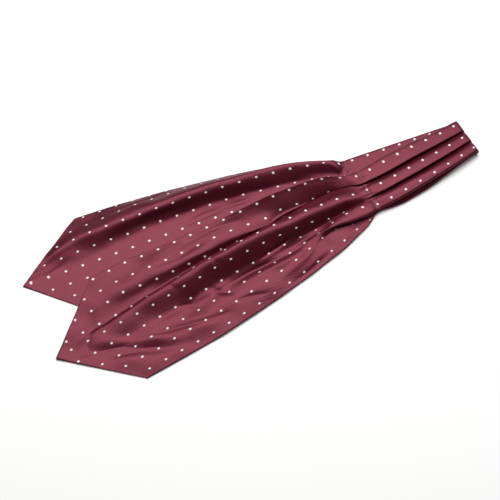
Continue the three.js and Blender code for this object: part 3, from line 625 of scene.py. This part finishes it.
def tack_relief(distance, across, cloth, stop, tacks):
    """The groove that each line of stitches pulls into the strips, and the puckers beside it."""
    past = distance - tack_distance(stop, across)
    relief = np.zeros(distance.shape)
    for tack in tacks:
        reached = (smoothstep(cloth, tack["from"] - TACK_END, tack["from"])
                   * (1 - smoothstep(cloth, tack["to"], tack["to"] + TACK_END)))
        relief -= TACK_GROOVE["depth"] * reached * np.exp(-((past / TACK_GROOVE["width"]) ** 2))
        for place, before, after in tack["puckers"]:
            beside = np.exp(-(((cloth - place) / PUCKER["width"]) ** 2))
            extent = np.where(past < 0, before, after)
            fade = np.clip(1 - np.abs(past) / extent, 0, 1) * smoothstep(np.abs(past), 0, 2)
            relief -= PUCKER["depth"] * beside * fade
    return relief


def stitch_lines(middle, distance, across, cloth, stop, tacks):
    """Three points for each stitch, which slants over the groove."""
    stitches = []
    for tack in tacks:
        for place in np.arange(tack["from"] + 1, tack["to"], STITCH["spacing"]):
            points = []
            for side in (-1, 0, 1):
                wanted = place + side * STITCH["slant"]
                beside = np.where(np.abs(distance - stop) < NEAR_TACK, np.abs(cloth - wanted), np.inf)
                column = np.unravel_index(np.argmin(beside), beside.shape)
                reach = tack_distance(stop, across[column]) + side * STITCH["reach"]
                gap = (distance - reach) ** 2 + (cloth - wanted) ** 2
                spot = middle[np.unravel_index(np.argmin(gap), gap.shape)].copy()
                spot[2] += SILK_WALL / 2 + (STITCH["rise"] if side == 0 else 0.0)
                points.append(spot * MM)
            stitches.append(points)
    return stitches


def press(middle, relief):
    """Moves a grid of points along its upward normals, but not where the sheet stands on edge."""
    normal = np.cross(np.gradient(middle, axis=1), np.gradient(middle, axis=0))
    normal /= np.maximum(np.linalg.norm(normal, axis=-1, keepdims=True), 1e-9)
    upward = np.where(normal[..., 2:] < 0, -1.0, 1.0)
    steady = smoothstep(np.abs(normal[..., 2:]), 0.05, 0.35)
    return middle + relief[..., None] * normal * upward * steady


def hem_thickness(grid):
    """The cloth's wall, a little thicker along its turned-in edges."""
    steps = np.linalg.norm(np.diff(grid[..., 1:3], axis=1), axis=-1)
    run = np.concatenate([np.zeros((len(grid), 1)), np.cumsum(steps, axis=1)], axis=1)
    from_edge = np.minimum(run, run[:, -1:] - run)
    return SILK_WALL + HEM_EXTRA * np.exp(-(from_edge / HEM_WIDTH) ** 2)


def ripple(x, y):
    """A few long crossed waves."""
    crossed = CROSSED_RIPPLE
    rise = (crossed["height"] * np.sin(x * crossed["along"] + crossed["starts"][0])
            * np.sin(y * crossed["across"] + crossed["starts"][1]))
    for wave in RIPPLES:
        rise = rise + wave["height"] * np.sin(x * wave["along"] + y * wave["across"] + wave["start"])
    return rise


def row_distances(stop):
    """Rows of the mesh, closest together at the stitches."""
    first, last = stop - TACK_REACH, stop + TACK_REACH
    return np.concatenate([np.arange(BAND_START, first, ROW_STEP["band"]),
                           np.arange(first, last, ROW_STEP["tack"]),
                           np.arange(last, FAN_START, ROW_STEP["blade"]), [FAN_START]])


def front_print(distance, cloth):
    """How far along the printed silk each point of the front half lies."""
    skew = along(LOWER_STRIP_SKEW, distance) * smoothstep(cloth, 80, 115)
    return distance - FRONT_DOT_PHASE - along(FRONT_EASE, distance) - skew


def front_piece():
    """The front half, over the fold to the underside, and the lines of its stitches."""
    at = spread_columns(front_knots, FRONT_PROBES, FRONT_SPACING)
    grid = half_grid(front_knots, FRONT_POINT, at, row_distances(TACK))
    printed = front_print(grid[..., 0], grid[..., 3])
    full = np.concatenate([grid, printed[..., None]], axis=-1)
    full = np.concatenate([wrap_over(full[0]), full])
    loose = smoothstep(full[..., 0], TACK, TACK + RELEASE)
    full[..., 2] += loose * ripple(full[..., 0], full[..., 1])
    middle = to_part(full[..., :3], SWING)
    distance, across, cloth = full[..., 0], full[..., 1], full[..., 3]
    relief = crease_relief(distance, cloth, FRONT_CREASES)
    middle = press(middle, relief + tack_relief(distance, across, cloth, TACK, FRONT_TACKS))
    sewn = stitch_lines(middle, distance, across, cloth, TACK, FRONT_TACKS)
    flat = np.stack([full[..., 4], cloth - FIRST_DOT_ROW], axis=-1)
    return sheet_mesh("front_half", middle, flat, hem_thickness(full)), sewn


def back_piece():
    """The back half, with its band of four plies, and the lines of its stitches."""
    at = spread_columns(back_knots, BACK_PROBES, BACK_SPACING)
    grid = half_grid(back_knots, BACK_POINT, at, row_distances(BACK_TACK))
    loose = smoothstep(grid[..., 0], BACK_TACK, BACK_TACK + BACK_RELEASE)
    lifted = loose * smoothstep(grid[..., 2], 0.5, 4)
    shift = BACK_RIPPLE_SHIFT
    grid[..., 2] += lifted * ripple(grid[..., 0] + shift[0], grid[..., 1] + shift[1])
    middle = to_part(grid[..., :3], -SWING)
    distance, across, cloth = grid[..., 0], grid[..., 1], grid[..., 3]
    relief = crease_relief(distance, cloth, BACK_CREASES)
    middle = press(middle, relief + tack_relief(distance, across, cloth, BACK_TACK, BACK_TACKS))
    sewn = stitch_lines(middle, distance, across, cloth, BACK_TACK, BACK_TACKS)
    printed = distance - BACK_DOT_PHASE - along(BACK_EASE, distance)
    flat = np.stack([printed, cloth - FIRST_DOT_ROW], axis=-1)
    return sheet_mesh("back_half", middle, flat, hem_thickness(grid)), sewn


def linear(hex_colour):
    """An sRGB hex colour as linear light."""
    channels = [int(hex_colour[i:i + 2], 16) / 255 for i in (1, 3, 5)]
    values = [c / 12.92 if c <= 0.04045 else ((c + 0.055) / 1.055) ** 2.4 for c in channels]
    return (*values, 1.0)


def add(tree, kind, settings=None, links=None, **values):
    """Adds a node with its settings, its input values and the sockets that feed it."""
    node = tree.nodes.new(kind)
    for key, value in (settings or {}).items():
        setattr(node, key, value)
    for key, value in values.items():
        node.inputs[key.replace("_", " ")].default_value = value
    for key, socket in (links or {}).items():
        tree.links.new(socket, node.inputs[key])
    return node


def dotted_silk(name):
    """Printed silk twill: fine diagonal ribs, a soft coloured sheen, and small off-white dots."""
    material = bpy.data.materials.new(name)
    material.use_nodes = True
    tree = material.node_tree
    tree.nodes.clear()
    cloth = add(tree, "ShaderNodeUVMap", {"uv_map": "cloth"}).outputs["UV"]
    cell = add(tree, "ShaderNodeVectorMath", {"operation": "DIVIDE"}, {0: cloth})
    cell.inputs[1].default_value = (DOT_ALONG * MM, DOT_ACROSS * MM, 1)
    centred = add(tree, "ShaderNodeVectorMath", {"operation": "ADD"}, {0: cell.outputs[0]})
    centred.inputs[1].default_value = (0.5, 0.5, 0)
    part = add(tree, "ShaderNodeVectorMath", {"operation": "FRACTION"}, {0: centred.outputs[0]})
    offset = add(tree, "ShaderNodeVectorMath", {"operation": "SUBTRACT"}, {0: part.outputs[0]})
    offset.inputs[1].default_value = (0.5, 0.5, 0)
    scaled = add(tree, "ShaderNodeVectorMath", {"operation": "MULTIPLY"}, {0: offset.outputs[0]})
    scaled.inputs[1].default_value = (DOT_ALONG / DOT_HALF[0], DOT_ACROSS / DOT_HALF[1], 0)
    radius = add(tree, "ShaderNodeVectorMath", {"operation": "LENGTH"}, {0: scaled.outputs[0]})
    dot = add(tree, "ShaderNodeMapRange", {"interpolation_type": "SMOOTHSTEP"},
              {"Value": radius.outputs["Value"]}, From_Min=1.12, From_Max=0.86, To_Min=0.0, To_Max=1.0)
    colour = add(tree, "ShaderNodeMix", {"data_type": "RGBA"}, {0: dot.outputs[0]})
    colour.inputs[6].default_value = linear("#5f1729")
    colour.inputs[7].default_value = linear("#f2e6e8")
    # Silk keeps its colour at a low angle, where a smooth surface would turn white.
    facing = add(tree, "ShaderNodeLayerWeight", None, None, Blend=0.5).outputs["Facing"]
    metal = add(tree, "ShaderNodeMapRange", {"interpolation_type": "SMOOTHSTEP"}, {"Value": facing},
                From_Min=0.5, From_Max=0.85, To_Min=0.5, To_Max=0.1)
    metal = add(tree, "ShaderNodeMapRange", None, {"Value": dot.outputs[0], "To Min": metal.outputs[0]},
                To_Max=0.0)
    gloss = add(tree, "ShaderNodeMapRange", {"interpolation_type": "SMOOTHSTEP"}, {"Value": facing},
                From_Min=0.5, From_Max=0.85, To_Min=0.36, To_Max=0.03)
    twill = add(tree, "ShaderNodeTexWave", {"wave_type": "BANDS", "bands_direction": "DIAGONAL"},
                {"Vector": cloth}, Scale=240.0, Distortion=0.6, Detail=1.0)
    bump = add(tree, "ShaderNodeBump", None, {"Height": twill.outputs["Fac"]}, Strength=0.2,
               Distance=0.0004)
    shader = add(tree, "ShaderNodeBsdfPrincipled", None,
                 {"Base Color": colour.outputs[2], "Normal": bump.outputs["Normal"],
                  "Metallic": metal.outputs[0], "Specular IOR Level": gloss.outputs[0]},
                 Roughness=0.38, IOR=1.5)
    out = add(tree, "ShaderNodeOutputMaterial")
    tree.links.new(shader.outputs[0], out.inputs["Surface"])
    return material


def sewing_silk():
    """Silk thread, twisted and a little glossier than the cloth, in its colour."""
    material = bpy.data.materials.new("twisted silk thread")
    material.use_nodes = True
    tree = material.node_tree
    tree.nodes.clear()
    place = add(tree, "ShaderNodeTexCoord").outputs["Object"]
    twist = add(tree, "ShaderNodeTexWave", {"wave_type": "BANDS", "bands_direction": "DIAGONAL"},
                {"Vector": place}, Scale=900.0, Distortion=0.5)
    bump = add(tree, "ShaderNodeBump", None, {"Height": twist.outputs["Fac"]}, Strength=0.3,
               Distance=0.0002)
    shader = add(tree, "ShaderNodeBsdfPrincipled", None, {"Normal": bump.outputs["Normal"]},
                 Base_Color=linear("#b9737f"), Roughness=0.42, IOR=1.5)
    out = add(tree, "ShaderNodeOutputMaterial")
    tree.links.new(shader.outputs[0], out.inputs["Surface"])
    return material


def thread_tree():
    """Turns each short line of the mesh it is given into a piece of thread."""
    tree = bpy.data.node_groups.new("thread along lines", "GeometryNodeTree")
    sockets = tree.interface
    sockets.new_socket("Geometry", in_out="INPUT", socket_type="NodeSocketGeometry")
    radius = sockets.new_socket("Thread radius", in_out="INPUT", socket_type="NodeSocketFloat")
    sides = sockets.new_socket("Sides", in_out="INPUT", socket_type="NodeSocketInt")
    finish = sockets.new_socket("Thread", in_out="INPUT", socket_type="NodeSocketMaterial")
    sockets.new_socket("Geometry", in_out="OUTPUT", socket_type="NodeSocketGeometry")
    given = add(tree, "NodeGroupInput")
    lines = add(tree, "GeometryNodeMeshToCurve", None, {"Mesh": given.outputs["Geometry"]})
    smooth = add(tree, "GeometryNodeSubdivideCurve", None, {"Curve": lines.outputs[0]}, Cuts=2)
    ring = add(tree, "GeometryNodeCurvePrimitiveCircle", None,
               {"Radius": given.outputs["Thread radius"], "Resolution": given.outputs["Sides"]})
    tube = add(tree, "GeometryNodeCurveToMesh", None,
               {"Curve": smooth.outputs[0], "Profile Curve": ring.outputs[0]}, Fill_Caps=True)
    real = add(tree, "GeometryNodeRealizeInstances", None, {"Geometry": tube.outputs[0]})
    finished = add(tree, "GeometryNodeSetMaterial", None,
                   {"Geometry": real.outputs[0], "Material": given.outputs["Thread"]})
    out = add(tree, "NodeGroupOutput")
    tree.links.new(finished.outputs[0], out.inputs["Geometry"])
    return tree, {"radius": radius.identifier, "sides": sides.identifier, "finish": finish.identifier}


def stitches(sewn):
    """The tacks as one piece of thread stitches."""
    points = [point for stitch in sewn for point in stitch]
    joins = [(3 * i + k, 3 * i + k + 1) for i in range(len(sewn)) for k in (0, 1)]
    lines = bpy.data.meshes.new("stitch lines")
    lines.from_pydata([tuple(point) for point in points], joins, [])
    guide = placed("stitch lines", lines)
    tree, names = thread_tree()
    maker = guide.modifiers.new("thread", "NODES")
    maker.node_group = tree
    maker[names["radius"]] = STITCH["radius"] * MM
    maker[names["sides"]] = STITCH["sides"]
    maker[names["finish"]] = sewing_silk()
    bpy.context.view_layer.update()
    made = guide.evaluated_get(bpy.context.evaluated_depsgraph_get())
    mesh = bpy.data.meshes.new_from_object(made)
    mesh.name = "tack_stitches"
    bpy.data.objects.remove(guide)
    return placed("tack_stitches", mesh)


front, front_sewn = front_piece()
back, back_sewn = back_piece()
silk = dotted_silk("printed silk twill")
for piece in (front, back):
    piece.data.materials.append(silk)
tacks = stitches(front_sewn + back_sewn)

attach(front, "root")
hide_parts("front_blade", "front_neckband", "neck_fold")
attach(back, "root")
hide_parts("back_blade", "back_neckband")
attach(tacks, "root")

# The camera stands 60 degrees up on the lower side, as in the photograph.
TARGET = Vector((-30.0, -20.7, 0.0)) * MM
AWAY = Vector((-0.2268, -0.4456, 0.8660)).normalized()
CAMERA_DISTANCE = 1.5058
FLOOR_REACH = 6.0
SOFTBOX = {"elevation": 62, "distance": 2.0, "width": 2.4, "depth": 1.5, "power": 57.0}
WORLD_LIGHT = 0.06


def aim(thing, place, target):
    """Puts a camera or a light in its place and turns it to the target."""
    thing.location = place
    thing.rotation_euler = (target - place).to_track_quat("-Z", "Y").to_euler()


def camera():
    """The photograph's view, with an 85 mm lens."""
    view = placed("camera", bpy.data.cameras.new("camera"))
    view.data.lens = 85
    view.data.sensor_width = 36
    aim(view, TARGET + AWAY * CAMERA_DISTANCE, TARGET)
    bpy.context.scene.camera = view


def floor():
    """Matt white paper, lit a little from behind so that it is as white as the photo's ground."""
    mesh = bpy.data.meshes.new("floor")
    corners = [(x * FLOOR_REACH, y * FLOOR_REACH, 0) for x, y in ((-1, -1), (1, -1), (1, 1), (-1, 1))]
    mesh.from_pydata(corners, [], [(0, 1, 2, 3)])
    paper = bpy.data.materials.new("matt white paper")
    paper.use_nodes = True
    shader = paper.node_tree.nodes["Principled BSDF"]
    shader.inputs["Base Color"].default_value = linear("#fefefd")
    shader.inputs["Roughness"].default_value = 0.9
    shader.inputs["Emission Color"].default_value = (1, 1, 1, 1)
    shader.inputs["Emission Strength"].default_value = 0.12
    mesh.materials.append(paper)
    placed("floor", mesh)


def lighting():
    """One wide softbox over the far side, and a faint even light."""
    world = bpy.data.worlds.new("studio")
    world.use_nodes = True
    world.node_tree.nodes["Background"].inputs["Color"].default_value = (1, 1, 1, 1)
    world.node_tree.nodes["Background"].inputs["Strength"].default_value = WORLD_LIGHT
    bpy.context.scene.world = world
    light = bpy.data.lights.new("softbox", "AREA")
    light.shape = "RECTANGLE"
    light.size = SOFTBOX["width"]
    light.size_y = SOFTBOX["depth"]
    light.energy = SOFTBOX["power"]
    far = Vector((-AWAY.x, -AWAY.y, 0)).normalized()
    up = math.radians(SOFTBOX["elevation"])
    toward = far * math.cos(up) + Vector((0, 0, math.sin(up)))
    aim(placed("softbox", light), TARGET + toward * SOFTBOX["distance"], TARGET)


camera()
floor()
lighting()
bpy.context.scene.view_settings.view_transform = "Standard"
